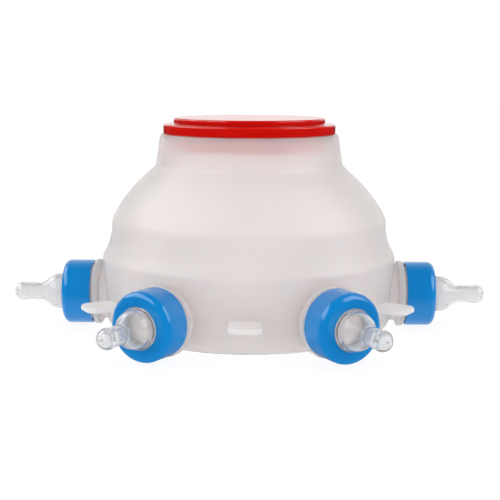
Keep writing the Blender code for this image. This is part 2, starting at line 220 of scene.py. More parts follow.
class MouldGrain(Effect):
    """The fine tooth that a blasted mould leaves, with a slow swell under it."""

    name = "mould_grain"
    inputs = {"Scale": ("NodeSocketFloat", 900.0), "Swell": ("NodeSocketFloat", 40.0)}
    output = ("Height", "NodeSocketFloat")
    tooth_noise = {"Detail": 2.0, "Roughness": 0.6}
    swell_noise = {"Detail": 1.0, "Roughness": 0.4}

    @classmethod
    def draw(cls, sheet: NodeSheet, source: bpy.types.Node) -> bpy.types.NodeSocket:
        """Mix a fine noise with a broad one."""
        tooth = sheet.add("TexNoise", cls.tooth_noise)
        swell = sheet.add("TexNoise", cls.swell_noise)
        mix = sheet.add("Math", operation="ADD")
        for node, scale in ((tooth, "Scale"), (swell, "Swell")):
            sheet.link(source.outputs["Vector"], node.inputs["Vector"])
            sheet.link(source.outputs[scale], node.inputs["Scale"])
        sheet.link(tooth.outputs["Fac"], mix.inputs[0])
        sheet.link(swell.outputs["Fac"], mix.inputs[1])
        return mix.outputs[0]


class ToneDrift(Effect):
    """A slow change between two near colours, as pigment and wall thickness vary."""

    name = "tone_drift"
    inputs = {
        "Base": ("NodeSocketColor", (0.8, 0.8, 0.8, 1.0)),
        "Drift": ("NodeSocketColor", (0.7, 0.7, 0.7, 1.0)),
        "Scale": ("NodeSocketFloat", 14.0),
    }
    output = ("Color", "NodeSocketColor")
    broad_noise = {"Detail": 2.0, "Roughness": 0.5}
    noise_range = {"From Min": 0.35, "From Max": 0.65}

    @classmethod
    def draw(cls, sheet: NodeSheet, source: bpy.types.Node) -> bpy.types.NodeSocket:
        """Blend the two colours by a broad noise."""
        noise = sheet.add("TexNoise", cls.broad_noise)
        spread = sheet.add("MapRange", cls.noise_range)
        mix = sheet.add("Mix", data_type="RGBA")
        sheet.link(source.outputs["Vector"], noise.inputs["Vector"])
        sheet.link(source.outputs["Scale"], noise.inputs["Scale"])
        sheet.link(noise.outputs["Fac"], spread.inputs["Value"])
        sheet.link(spread.outputs["Result"], mix.inputs["Factor"])
        sheet.link(source.outputs["Base"], mix.inputs["A"])
        sheet.link(source.outputs["Drift"], mix.inputs["B"])
        return mix.outputs["Result"]


class Handling(Effect):
    """How even the gloss is: faint smears where hands and washing have dulled it."""

    name = "handling"
    inputs = {
        "Scale": ("NodeSocketFloat", 30.0),
        "Least": ("NodeSocketFloat", 0.2),
        "Most": ("NodeSocketFloat", 0.3),
    }
    output = ("Roughness", "NodeSocketFloat")
    smear_noise = {"Detail": 4.0, "Roughness": 0.65, "Distortion": 0.6}
    noise_range = {"From Min": 0.3, "From Max": 0.7}

    @classmethod
    def draw(cls, sheet: NodeSheet, source: bpy.types.Node) -> bpy.types.NodeSocket:
        """Spread a warped noise between the least and the most roughness."""
        noise = sheet.add("TexNoise", cls.smear_noise)
        spread = sheet.add("MapRange", cls.noise_range)
        sheet.link(source.outputs["Vector"], noise.inputs["Vector"])
        sheet.link(source.outputs["Scale"], noise.inputs["Scale"])
        sheet.link(noise.outputs["Fac"], spread.inputs["Value"])
        sheet.link(source.outputs["Least"], spread.inputs["To Min"])
        sheet.link(source.outputs["Most"], spread.inputs["To Max"])
        return spread.outputs["Result"]


@dataclass(frozen=True)
class Finish:
    """A material: its colours, its gloss, and how much light gets into it and through it."""

    name: str
    slot: str
    base: Colour
    drift: Colour
    drift_scale: float = 14.0
    least_roughness: float = 0.2
    most_roughness: float = 0.3
    smear_scale: float = 30.0
    grain_scale: float = 900.0
    swell_scale: float = 40.0
    grain_depth: float = 0.00002
    ior: float = 1.5
    specular: float = 0.5
    coat: float = 0.0
    coat_roughness: float = 0.05
    scatter: float = 0.0
    scatter_depth: float = 0.001
    scatter_colour: Colour = (1.0, 1.0, 1.0)
    transmission: float = 0.0

    def material(self) -> bpy.types.Material:
        """The material, built the first time that it is asked for."""
        found = bpy.data.materials.get(self.name)
        if found:
            return found
        material = bpy.data.materials.new(self.name)
        material.use_nodes = True
        material.diffuse_color = rgba(self.base)
        sheet = NodeSheet(material.node_tree)
        place = sheet.add("TexCoord").outputs["Object"]
        shader = sheet.add(
            "BsdfPrincipled",
            {
                "IOR": self.ior,
                "Specular IOR Level": self.specular,
                "Coat Weight": self.coat,
                "Coat Roughness": self.coat_roughness,
                "Subsurface Weight": self.scatter,
                "Subsurface Radius": self.scatter_colour,
                "Subsurface Scale": self.scatter_depth,
                "Transmission Weight": self.transmission,
            },
        )
        tone = ToneDrift.place(
            sheet, place, base=rgba(self.base), drift=rgba(self.drift), scale=self.drift_scale
        )
        gloss = Handling.place(
            sheet,
            place,
            scale=self.smear_scale,
            least=self.least_roughness,
            most=self.most_roughness,
        )
        grain = MouldGrain.place(sheet, place, scale=self.grain_scale, swell=self.swell_scale)
        bump = sheet.add("Bump", {"Strength": 1.0, "Distance": self.grain_depth})
        sink = sheet.add("OutputMaterial")
        sheet.link(tone, shader.inputs["Base Color"])
        sheet.link(gloss, shader.inputs["Roughness"])
        sheet.link(grain, bump.inputs["Height"])
        sheet.link(bump.outputs["Normal"], shader.inputs["Normal"])
        sheet.link(shader.outputs["BSDF"], sink.inputs["Surface"])
        return material


FROSTED = Finish(
    name="frosted_polyethylene",
    slot="frosted_vessel",
    base=(0.985, 0.943, 0.932),
    drift=(0.970, 0.923, 0.912),
    drift_scale=9.0,
    least_roughness=0.60,
    most_roughness=0.70,
    smear_scale=14.0,
    grain_scale=1400.0,
    grain_depth=0.00003,
    ior=1.2,
    coat=0.45,
    coat_roughness=0.34,
    scatter=0.8,
    scatter_depth=0.006,
    scatter_colour=(1.0, 0.85, 0.8),
    transmission=0.66,
)
# A lighter copy of the frosted finish for the solid tabs. Its more scatter and less transmission are the
# solid plastic's own. Its whiter, less pink base colour is painted brightness.
THICK_FROSTED_PAINTED_LIGHTER = replace(
    FROSTED,
    name="frosted_polyethylene_thick_painted_lighter",
    base=(0.99, 0.957, 0.950),
    drift=(0.98, 0.942, 0.935),
    scatter=1.0,
    scatter_depth=0.004,
    transmission=0.35,
)
LID_PLASTIC = Finish(
    name="red_lid_plastic",
    slot="red_lid",
    base=Tint.LID_RED.value[0],
    drift=Tint.LID_RED.value[1],
    least_roughness=0.08,
    most_roughness=0.12,
    grain_depth=0.000001,
    scatter=0.7,
    scatter_depth=0.004,
    scatter_colour=(1.0, 0.12, 0.08),
    transmission=0.3,
)
RING_PLASTIC = Finish(
    name="blue_ring_plastic",
    slot="blue_ring",
    base=Tint.RING_BLUE.value[0],
    drift=Tint.RING_BLUE.value[1],
    drift_scale=30.0,
    least_roughness=0.10,
    most_roughness=0.15,
    grain_depth=0.00001,
)
TEAT_SILICONE = Finish(
    name="clear_silicone",
    slot="clear_teat",
    base=(0.96, 0.963, 0.97),
    drift=(0.94, 0.943, 0.95),
    least_roughness=0.08,
    most_roughness=0.13,
    grain_depth=0.000003,
    ior=1.41,
    transmission=0.83,
)
GASKET_SILICONE = Finish(
    name="white_silicone",
    slot="white_gasket",
    base=(0.78, 0.78, 0.76),
    drift=(0.72, 0.72, 0.70),
    least_roughness=0.45,
    most_roughness=0.6,
    scatter=0.3,
)


@dataclass(frozen=True)
class Corner:
    """A corner of a section: how far it is from the turning axis, where along it, and its round."""

    across: float
    along: float
    fillet: float = 0.0

    def point(self) -> Vector:
        """The corner as a point of the section's plane."""
        return Vector((self.across, self.along))


@dataclass(frozen=True)
class Section:
    """A closed outline, in order round its solid, that is turned about Z."""

    corners: tuple[Corner, ...]
    arc_step: float = math.radians(6.0)
    arc_length: float = 0.003

    def turn(self, index: int) -> float:
        """How far the outline turns at a corner."""
        here = self.corners[index].point()
        before = self.corners[index - 1].point() - here
        after = self.corners[(index + 1) % len(self.corners)].point() - here
        return math.pi - before.angle(after)

    def reaches(self) -> list[float]:
        """How far each round runs along its corner's edges, cut back where two would meet."""
        count = len(self.corners)
        reach = [
            corner.fillet * math.tan(self.turn(i) / 2) if corner.fillet else 0.0
            for i, corner in enumerate(self.corners)
        ]
        limit = [1.0] * count
        for i in range(count):
            j = (i + 1) % count
            length = (self.corners[i].point() - self.corners[j].point()).length
            if reach[i] + reach[j] > length:
                share = length / (reach[i] + reach[j])
                limit[i] = min(limit[i], share)
                limit[j] = min(limit[j], share)
        return [a * b for a, b in zip(reach, limit)]

    def drawn(self) -> bmesh.types.BMesh:
        """Draw the outline in the XZ plane, with its rounds."""
        bm = bmesh.new()
        verts = [bm.verts.new((c.across, 0.0, c.along)) for c in self.corners]
        for i, vert in enumerate(verts):
            after = (i + 1) % len(verts)
            if max(self.corners[i].across, self.corners[after].across) > WELD:
                bm.edges.new((vert, verts[after]))
        for i, reach in enumerate(self.reaches()):
            if reach > WELD:
                turn = self.turn(i)
                arc = turn * reach / math.tan(turn / 2)
                steps = max(
                    LEAST_ARC_STEPS,
                    math.ceil(turn / self.arc_step),
                    math.ceil(arc / self.arc_length),
                )
                bmesh.ops.bevel(
                    bm,
                    geom=[verts[i]],
                    offset=reach,
                    segments=steps,
                    profile=ROUND_PROFILE,
                    affect="VERTICES",
                    material=-1,
                )
        bmesh.ops.remove_doubles(bm, verts=bm.verts, dist=WELD)
        return bm

    def turned(self, steps: int) -> bmesh.types.BMesh:
        """Turn the outline once about Z, in that many steps, into a closed solid."""
        bm = self.drawn()
        bmesh.ops.spin(
            bm,
            geom=bm.verts[:] + bm.edges[:],
            cent=CENTRE,
            axis=UP,
            angle=math.tau,
            steps=steps,
            use_merge=True,
        )
        bmesh.ops.remove_doubles(bm, verts=bm.verts, dist=WELD)
        bmesh.ops.recalc_face_normals(bm, faces=bm.faces)
        return bm


def moved_inwards(corners: Sequence[Corner], depths: Sequence[float]) -> list[Corner]:
    """The corners of a wall's inner side.

    Args:
        corners: the corners up the wall's outer side.
        depths: the wall's thickness from each corner to the next.

    Returns:
        The inner corners, one fewer at each end.
    """
    lines = []
    for here, there, depth in zip(corners, corners[1:], depths):
        along = (there.point() - here.point()).normalized()
        lines.append((here.point() + Vector((-along.y, along.x)) * depth, along))
    inner = []
    for i in range(1, len(corners) - 1):
        (p, u), (q, v) = lines[i - 1], lines[i]
        cross = u.cross(v)
        meet = p + u * ((q - p).cross(v) / cross)
        depth = max(depths[i - 1], depths[i])
        fillet = corners[i].fillet
        fillet = max(fillet - depth, fillet * LEAST_INNER_FILLET) if cross > 0.0 else fillet + depth
        inner.append(Corner(meet.x, meet.y, fillet))
    return inner


def outwards(angle: float, height: float) -> Matrix:
    """The frame of a port: its Z is level and points out at that angle, and its X points down."""
    return (
        Matrix.Translation((0.0, 0.0, height))
        @ Matrix.Rotation(angle, 4, "Z")
        @ Matrix.Rotation(math.pi / 2, 4, "Y")
    )


def port_angle(index: int) -> float:
    """The direction of port 0 to 5, from +X."""
    return math.tau * index / PORTS


def tab_angle(index: int) -> float:
    """The direction of the lifting tab that follows a port."""
    return port_angle(index) + math.pi / PORTS


def as_mesh(bm: bmesh.types.BMesh, name: str) -> bpy.types.Mesh:
    """Turn a bmesh into a mesh with its faces pointing out."""
    bmesh.ops.recalc_face_normals(bm, faces=bm.faces)
    mesh = bpy.data.meshes.new(name)
    bm.to_mesh(mesh)
    bm.free()
    return mesh


class Carving:
    """A solid with others joined to it and cut out of it, by exact Booleans."""

    def __init__(self, base: bmesh.types.BMesh, name: str) -> None:
        """Start from one solid."""
        self.name = name
        self.base = self._linked(as_mesh(base, name), bpy.context.scene.collection)
        self.tools = [self.base]

    @staticmethod
    def _linked(mesh: bpy.types.Mesh, collection: bpy.types.Collection) -> bpy.types.Object:
        """An object of that mesh in a collection."""
        obj = bpy.data.objects.new(mesh.name, mesh)
        collection.objects.link(obj)
        return obj

    def _combine(self, operation: str, solids: Sequence[bmesh.types.BMesh]) -> None:
        """Add one Boolean with several solids."""
        collection = bpy.data.collections.new(f"{self.name}_{operation.lower()}")
        bpy.context.scene.collection.children.link(collection)
        for solid in solids:
            self.tools.append(self._linked(as_mesh(solid, f"{self.name}_tool"), collection))
        modifier = self.base.modifiers.new(collection.name, "BOOLEAN")
        modifier.operation = operation
        modifier.operand_type = "COLLECTION"
        modifier.collection = collection
        modifier.solver = "EXACT"

    def join(self, solids: Sequence[bmesh.types.BMesh]) -> None:
        """Join solids to what is there."""
        self._combine("UNION", solids)

    def cut(self, solids: Sequence[bmesh.types.BMesh]) -> None:
        """Cut solids out of what is there."""
        self._combine("DIFFERENCE", solids)

    def result(self) -> bpy.types.Mesh:
        """The finished mesh. The tools are removed."""
        graph = bpy.context.evaluated_depsgraph_get()
        shape = bpy.data.meshes.new_from_object(self.base.evaluated_get(graph))
        shape.name = self.name
        collections = [modifier.collection for modifier in self.base.modifiers]
        self.base.modifiers.clear()
        for collection in collections:
            bpy.context.scene.collection.children.unlink(collection)
        for tool in self.tools:
            bpy.data.objects.remove(tool)
        return shape


def dress(
    mesh: bpy.types.Mesh,
    name: str,
    finish: Finish,
    body: str,
    node: str,
    crease: Crease = Crease.PLAIN,
) -> bpy.types.Object:
    """Make a piece of a finished mesh, dress it and let it stand for its CAD node.

    Args:
        mesh: the mesh, in place.
        name: the piece's name.
        finish: its finish.
        body: the body that it rides on.
        node: the CAD node that it replaces.
        crease: how sharp an edge has to be to be shaded sharp.

    Returns:
        The piece.
    """
    mesh.name = name
    mesh.materials.clear()
    mesh.materials.append(finish.material())
    mesh.shade_smooth()
    mesh.set_sharp_from_angle(angle=math.radians(crease.value))
    piece = bpy.data.objects.new(name, mesh)
    bpy.context.scene.collection.objects.link(piece)
    even = piece.modifiers.new("even_shading", "WEIGHTED_NORMAL")
    even.keep_sharp = True
    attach(piece, body)
    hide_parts(node)
    log.info("%s: %d faces, %s", name, len(mesh.polygons), finish.name)
    return piece


@dataclass(frozen=True)
class PortLine:
    """The places along a port's line, measured from the vessel's axis, and the line's height."""

    neck_end: float
    ring_back: float
    ring_front: float
    flange_back: float
    teat_tip: float
    height: float

    @classmethod
    def measured(cls) -> "PortLine":
        """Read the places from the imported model's first port, which lies along +X."""
        ring_low, ring_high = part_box("collar_1")
        teat_low, teat_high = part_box("teat_1")
        return cls(
            neck_end=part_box("bowl")[1].x,
            ring_back=ring_low.x,
            ring_front=ring_high.x,
            flange_back=teat_low.x,
            teat_tip=teat_high.x,
            height=(teat_low.z + teat_high.z) / 2,
        )


@dataclass(frozen=True)
class Thread:
    """A round-topped screw thread: its rib, and how it runs along the neck."""

    pitch: float = 0.0042
    turns: float = 1.5
    crest_width: float = 0.0010
    height: float = 0.0012
    flank_slope: float = 0.4167
    sunk: float = 0.0004
    steps_a_turn: int = 72
    run_out: float = math.radians(50.0)
    end_share: float = 0.12
    foot_tolerance: float = WELD * 100

    def rib(self, wall: float, height: float, start: float, inside: bool) -> bmesh.types.BMesh:
        """Wind one rib about Z, with its foot sunk into a round wall and its ends run out.

        Args:
            wall: the wall's radius.
            height: how far the crest stands off the wall.
            start: where along Z the rib's middle starts.
            inside: whether the rib points to the axis.

        Returns:
            The rib as a closed solid.
        """
        way = -1.0 if inside else 1.0
        foot = wall - way * self.sunk
        crest = wall + way * height
        crest_half = self.crest_width / 2
        foot_half = crest_half + self.flank_slope * (height + self.sunk)
        steps = round(self.turns * self.steps_a_turn)
        bm = bmesh.new()
        section = [
            bm.verts.new((foot, 0.0, start - foot_half)),
            bm.verts.new((crest, 0.0, start - crest_half)),
            bm.verts.new((crest, 0.0, start + crest_half)),
            bm.verts.new((foot, 0.0, start + foot_half)),
        ]
        face = bm.faces.new(section)
        bmesh.ops.spin(
            bm,
            geom=[face],
            cent=CENTRE,
            axis=UP,
            dvec=(0.0, 0.0, self.pitch / self.steps_a_turn),
            angle=math.tau * steps / self.steps_a_turn,
            steps=steps,
        )
        self._run_out(bm, foot, steps, start)
        half_facet = Matrix.Rotation(math.pi / self.steps_a_turn, 3, "Z")
        bmesh.ops.rotate(bm, verts=bm.verts, matrix=half_facet)
        return bm

    def _run_out(self, bm: bmesh.types.BMesh, foot: float, steps: int, start: float) -> None:
        """Let the crest sink to just above the foot over the rib's two ends."""
        sweep = math.tau * steps / self.steps_a_turn
        for vert in bm.verts:
            radius = math.hypot(vert.co.x, vert.co.y)
            if abs(radius - foot) < self.foot_tolerance:
                continue
            turned = math.atan2(vert.co.y, vert.co.x) % math.tau
            climbed = (vert.co.z - start) / self.pitch * math.tau
            turned += math.tau * round((climbed - turned) / math.tau)
            end = min(turned, sweep - turned) / self.run_out
            share = self.end_share + (1.0 - self.end_share) * min(1.0, max(0.0, end))
            wanted = foot + (radius - foot) * share
            vert.co.x *= wanted / radius
            vert.co.y *= wanted / radius


@dataclass
class Vessel:
    """The frosted vessel, with its necks, beads, threads and lifting tabs, as one moulding.

    Its wall's corners run from the recess under the base up to the ledge round the mouth.
    """

    line: PortLine
    thread: Thread = field(default_factory=Thread)
    recess: Corner = Corner(0.0600, 0.0)
    stand: Corner = Corner(0.0760, 0.0, 0.0080)
    foot: Corner = Corner(0.0886, 0.0040, 0.0060)
    shoulder: Corner = Corner(0.0914, 0.0462, 0.0040)
    band: Corner = Corner(0.0860, 0.0565, 0.0300)
    ridge: Corner = Corner(0.0852, 0.0690, 0.0100)
    dome: Corner = Corner(0.0780, 0.0835, 0.0700)
    throat: Corner = Corner(0.0580, 0.1021, 0.0030)
    ledge: Corner = Corner(0.0550, 0.1213, 0.0018)
    recess_slope: float = 0.0020
    recess_depth: float = 0.0015
    wall: float = 0.0025
    floor: float = 0.0022
    rim_outer: float = 0.0512
    mouth: float = 0.0485
    rim_round: float = 0.0005
    neck_radius: float = 0.0170
    neck_wall: float = 0.0024
    neck_length: float = 0.0145
    neck_lip_round: float = 0.0005
    bead_radius: float = 0.0206
    bead_width: float = 0.0048
    bead_round: float = 0.0020
    thread_lead: float = 0.0055
    tab_length: float = 0.0208
    tab_width: float = 0.0190
    tab_thickness: float = 0.0030
    tab_corner: float = 0.0060
    tab_corner_steps: int = 10
    tab_edge: float = 0.0009
    tab_edge_steps: int = 4
    tab_level: float = 0.9
    tab_rise: float = 0.0004
    tab_spread: float = math.radians(12.0)
    solid_from: float = 0.0918
    steps: int = 160
    neck_steps: int = 72

    @property
    def rim_top(self) -> float:
        """The height of the rim that the lid closes on."""
        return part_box("bowl")[1].z

    @property
    def bead_end(self) -> float:
        """Where along a port the bead's outer face is."""
        return self.line.neck_end - self.neck_length

    @property
    def wall_at_ports(self) -> float:
        """The wall's outer radius at the height of the ports."""
        lean = (self.shoulder.across - self.foot.across) / (self.shoulder.along - self.foot.along)
        return self.foot.across + lean * (self.line.height - self.foot.along)

    def wall_corners(self) -> list[Corner]:
        """The wall's outer corners, from the base up to the rim."""
        named = (self.stand, self.foot, self.shoulder, self.band, self.ridge, self.dome)
        rim = Corner(self.rim_outer, self.ledge.along)
        return [self.recess, *named, self.throat, self.ledge, rim]

    def outside(self) -> bmesh.types.BMesh:
        """The vessel's form, still solid."""
        recess_edge = self.recess.across - self.recess_slope
        corners = [
            Corner(0.0, self.recess_depth),
            Corner(recess_edge, self.recess_depth),
            *self.wall_corners(),
            Corner(self.rim_outer, self.rim_top, self.rim_round),
            Corner(0.0, self.rim_top),
        ]
        return Section(tuple(corners)).turned(self.steps)

    def inside(self) -> bmesh.types.BMesh:
        """The space in the vessel, which runs out through its mouth."""
        walls = self.wall_corners()
        depths = [self.wall] * (len(walls) - 1)
        depths[0] = self.recess_depth + self.floor
        inner = moved_inwards(walls, depths)
        above = self.rim_top + self.wall
        corners = [
            Corner(0.0, inner[0].along),
            *inner,
            Corner(self.mouth, inner[-1].along),
            Corner(self.mouth, above),
            Corner(0.0, above),
        ]
        return Section(tuple(corners)).turned(self.steps)

    def neck(self) -> bmesh.types.BMesh:
        """A neck as a bar with its bead, along Z."""
        root = self.stand.across
        bead_start = self.bead_end - self.bead_width
        corners = (
            Corner(0.0, root),
            Corner(self.neck_radius, root),
            Corner(self.neck_radius, bead_start),
            Corner(self.bead_radius, bead_start, self.bead_round),
            Corner(self.bead_radius, self.bead_end, self.bead_round),
            Corner(self.neck_radius, self.bead_end),
            Corner(self.neck_radius, self.line.neck_end, self.neck_lip_round),
            Corner(0.0, self.line.neck_end),
        )
        return Section(corners).turned(self.neck_steps)

    def bore(self) -> bmesh.types.BMesh:
        """The hole through a neck, along Z."""
        radius = self.neck_radius - self.neck_wall
        past = self.line.neck_end + self.neck_wall
        corners = (
            Corner(0.0, self.throat.across),
            Corner(radius, self.throat.across),
            Corner(radius, past),
            Corner(0.0, past),
        )
        return Section(corners).turned(self.neck_steps)

    def tab(self) -> bmesh.types.BMesh:
        """A lifting tab, level, running out along +X from within the wall."""
        root = self.foot.across - self.wall / 2
        tip = self.wall_at_ports + self.tab_length
        half = self.tab_width / 2
        bm = bmesh.new()
        plan = [(root, -half), (tip, -half), (tip, half), (root, half)]
        verts = [bm.verts.new((x, y, -self.tab_thickness / 2)) for x, y in plan]
        base = bm.faces.new(verts)
        grown = bmesh.ops.extrude_face_region(bm, geom=[base])
        top = [item for item in grown["geom"] if isinstance(item, bmesh.types.BMVert)]
        bmesh.ops.translate(bm, verts=top, vec=(0.0, 0.0, self.tab_thickness))
        bmesh.ops.recalc_face_normals(bm, faces=bm.faces)
        corners = [
            edge
            for edge in bm.edges
            if all(v.co.x > root + WELD for v in edge.verts)
            and abs(edge.verts[0].co.z - edge.verts[1].co.z) > WELD
        ]
        self._bevel(bm, corners, self.tab_corner, self.tab_corner_steps)
        level = [face for face in bm.faces if abs(face.normal.z) > self.tab_level]
        rims = {edge for face in level for edge in face.edges}
        rims = sorted(rims, key=lambda edge: edge.index)
        self._bevel(bm, rims, self.tab_edge, self.tab_edge_steps)
        return bm

    @staticmethod
    def _bevel(bm: bmesh.types.BMesh, edges: Sequence[bmesh.types.BMEdge], size: float, steps: int) -> None:
        """Round edges over."""
        bmesh.ops.bevel(
            bm,
            geom=list(edges),
            offset=size,
            segments=steps,
            profile=ROUND_PROFILE,
            affect="EDGES",
            material=-1,
            clamp_overlap=True,
        )

    def build(self) -> bpy.types.Object:
        """Join the necks, threads and tabs to the form, hollow it, and dress it."""
        carving = Carving(self.outside(), "vessel")
        stock, hollow = [], [self.inside()]
        for i in range(PORTS):
            port = outwards(port_angle(i), self.line.height)
            seat = Matrix.Rotation(tab_angle(i), 4, "Z")
            seat.translation = (0.0, 0.0, self.line.height + self.tab_rise)
            rib = self.thread.rib(
                self.neck_radius, self.thread.height, self.bead_end + self.thread_lead, False
            )
            for solid, place, pile in (
                (self.neck(), port, stock),
                (rib, port, stock),
                (self.tab(), seat, stock),
                (self.bore(), port, hollow),
            ):
                bmesh.ops.transform(solid, matrix=place, verts=solid.verts)
                pile.append(solid)
        carving.join(stock)
        carving.cut(hollow)
        piece = dress(carving.result(), "vessel_body", FROSTED, "bowl", "bowl")
        self._mark_tabs(piece.data)
        return piece

    def _mark_tabs(self, mesh: bpy.types.Mesh) -> None:
        """Give the tabs the finish of solid plastic, which scatters more light than a wall, with a whiter
        base colour that paints them lighter.
        """
        thick_painted_lighter_index = len(mesh.materials)
        # the tabs' copy: its whiter base colour is painted brightness on the same plastic
        mesh.materials.append(THICK_FROSTED_PAINTED_LIGHTER.material())
        for face in mesh.polygons:
            x, y, _ = face.center
            aside = math.remainder(math.atan2(y, x) - tab_angle(0), math.tau / PORTS)
            if math.hypot(x, y) > self.solid_from and abs(aside) < self.tab_spread:
                face.material_index = thick_painted_lighter_index


@dataclass
class ScrewRing:
    """The blue ring that clamps a teat on its neck."""

    line: PortLine
    thread: Thread = field(default_factory=Thread)
    radius: float = 0.0200
    inner: float = 0.0186
    hole: float = 0.0113
    face: float = 0.0020
    front_round: float = 0.0042
    corner_round: float = 0.0012
    edge_round: float = 0.0004
    rib_height: float = 0.0008
    rib_lead: float = 0.0026
    steps: int = 96

    def mesh(self) -> bpy.types.Mesh:
        """The ring with its thread, along Z."""
        ceiling = self.line.ring_front - self.face
        corners = (
            Corner(self.inner, self.line.ring_back, self.edge_round),
            Corner(self.radius, self.line.ring_back, self.edge_round),
            Corner(self.radius, self.line.ring_front, self.front_round),
            Corner(self.hole, self.line.ring_front, self.edge_round),
            Corner(self.hole, ceiling, self.edge_round),
            Corner(self.inner, ceiling, self.corner_round),
        )
        carving = Carving(Section(corners).turned(self.steps), "screw_ring")
        rib_start = self.line.ring_back + self.rib_lead
        carving.join([self.thread.rib(self.inner, self.rib_height, rib_start, True)])
        return carving.result()

    def build(self) -> list[bpy.types.Object]:
        """A ring on every port."""
        pattern = self.mesh()
        rings = []
        for i in range(PORTS):
            mesh = pattern.copy()
            mesh.transform(outwards(port_angle(i), self.line.height))
            node = f"collar_{i + 1}"
            rings.append(dress(mesh, f"screw_ring_{i + 1}", RING_PLASTIC, node, node))
        return rings


@dataclass
class Teat:
    """A clear silicone teat: flange, bulb, flare, shaft and rounded tip, hollow to its hole."""

    line: PortLine
    wall: float = 0.0016
    flange_radius: float = 0.0170
    flange: float = 0.0019
    flange_round: float = 0.0004
    lip_gap: float = 0.0003
    lip_overhang: float = 0.0011
    lip: float = 0.0014
    lip_round: float = 0.0006
    lip_back_round: float = 0.0003
    lip_foot_round: float = 0.0002
    bulb_radius: float = 0.0110
    bulb_length: float = 0.0050
    bulb_round: float = 0.0080
    flare: float = 0.0077
    shaft_radius: float = 0.0054
    shaft_length: float = 0.0091
    shaft_round: float = 0.0025
    tip_radius: float = 0.00586
    tip_swell: float = 0.0029
    tip_root_round: float = 0.004
    tip_wall: float = 0.0024
    hole: float = 0.0005
    arc_length: float = 0.0008
    steps: int = 80

    def section(self) -> Section:
        """Up the outside from the flange to the tip, then down the inside."""
        back = self.line.flange_back
        front = back + self.flange
        lip_back = self.line.ring_front + self.lip_gap
        lip_front = lip_back + self.lip
        lip_radius = self.bulb_radius + self.lip_overhang
        bulb_end = lip_front + self.bulb_length
        shaft_start = bulb_end + self.flare
        shaft_end = shaft_start + self.shaft_length
        tip_middle = shaft_end + self.tip_swell
        tip = self.line.teat_tip
        bulb_inner = self.bulb_radius - self.wall
        shaft_inner = self.shaft_radius - self.wall
        corners = (
            Corner(bulb_inner, back, self.flange_round),
            Corner(self.flange_radius, back, self.flange_round),
            Corner(self.flange_radius, front, self.flange_round),
            Corner(self.bulb_radius, front),
            Corner(self.bulb_radius, lip_back),
            Corner(lip_radius, lip_back, self.lip_back_round),
            Corner(lip_radius, lip_front, self.lip_round),
            Corner(self.bulb_radius, lip_front, self.lip_foot_round),
            Corner(self.bulb_radius, bulb_end, self.bulb_round),
            Corner(self.shaft_radius, shaft_start, self.shaft_round),
            Corner(self.shaft_radius, shaft_end, self.tip_root_round),
            Corner(self.tip_radius, tip_middle),
            Corner(self.tip_radius, tip, self.tip_radius),
            Corner(self.hole, tip),
            Corner(self.hole, tip - self.tip_wall),
            Corner(shaft_inner, tip - self.tip_wall, shaft_inner / 2),
            Corner(shaft_inner, shaft_start, self.shaft_round),
            Corner(bulb_inner, bulb_end - self.wall / 2, self.bulb_round - self.wall),
        )
        return Section(corners, arc_length=self.arc_length)

    def build(self) -> list[bpy.types.Object]:
        """A teat on every port."""
        pattern = as_mesh(self.section().turned(self.steps), "teat")
        teats = []
        for i in range(PORTS):
            mesh = pattern.copy()
            mesh.transform(outwards(port_angle(i), self.line.height))
            node = f"teat_{i + 1}"
            name = f"silicone_teat_{i + 1}"
            teats.append(dress(mesh, name, TEAT_SILICONE, node, node, Crease.SOFT))
        return teats


@dataclass
class Lid:
    """The red push-in lid: a channel over the rim, a plug inside it and a raised top."""

    wall: float = 0.0018
    skirt_wall: float = 0.0017
    skirt_inner: float = 0.0515
    plug_outer: float = 0.0482
    plateau: float = 0.0468
    plateau_rise: float = 0.0038
    skirt_end: float = 0.1216
    top_round: float = 0.0012
    edge_round: float = 0.0010
    foot_round: float = 0.0003
    steps: int = 160

    def section(self) -> Section:
        """From the middle of the top, out and down the skirt, and back inside the plug."""
        low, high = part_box("lid")
        top = high.z
        step = top - self.plateau_rise
        ceiling = step - self.wall
        skirt_outer = self.skirt_inner + self.skirt_wall
        plug_inner = self.plug_outer - self.wall
        plateau_inner = self.plateau - self.wall
        corners = (
            Corner(0.0, top),
            Corner(self.plateau, top, self.top_round),
            Corner(self.plateau, step, self.foot_round),
            Corner(skirt_outer, step, self.edge_round),
            Corner(skirt_outer, self.skirt_end, self.foot_round),
            Corner(self.skirt_inner, self.skirt_end, self.foot_round),
            Corner(self.skirt_inner, ceiling),
            Corner(self.plug_outer, ceiling),
            Corner(self.plug_outer, low.z, self.foot_round),
            Corner(plug_inner, low.z, self.foot_round),
            Corner(plug_inner, ceiling),
            Corner(plateau_inner, ceiling),
            Corner(plateau_inner, top - self.wall, self.wall / 2),
            Corner(0.0, top - self.wall),
        )
        return Section(corners)

    def build(self) -> bpy.types.Object:
        """Turn the lid and dress it."""
        mesh = as_mesh(self.section().turned(self.steps), "lid")
        return dress(mesh, "red_lid_moulding", LID_PLASTIC, "lid", "lid")


@dataclass
class Gasket:
    """The flat white ring in the lid's channel, on the vessel's rim."""

    edge_round: float = 0.0003
    inner: float = 0.0486
    outer: float = 0.0511
    steps: int = 160

    def build(self) -> bpy.types.Object:
        """Turn the gasket and dress it."""
        low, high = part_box("lid_gasket")
        corners = (
            Corner(self.inner, low.z, self.edge_round),
            Corner(self.outer, low.z, self.edge_round),
            Corner(self.outer, high.z, self.edge_round),
            Corner(self.inner, high.z, self.edge_round),
        )
        mesh = as_mesh(Section(corners).turned(self.steps), "gasket")
        return dress(mesh, "white_lid_gasket", GASKET_SILICONE, "lid", "lid_gasket")


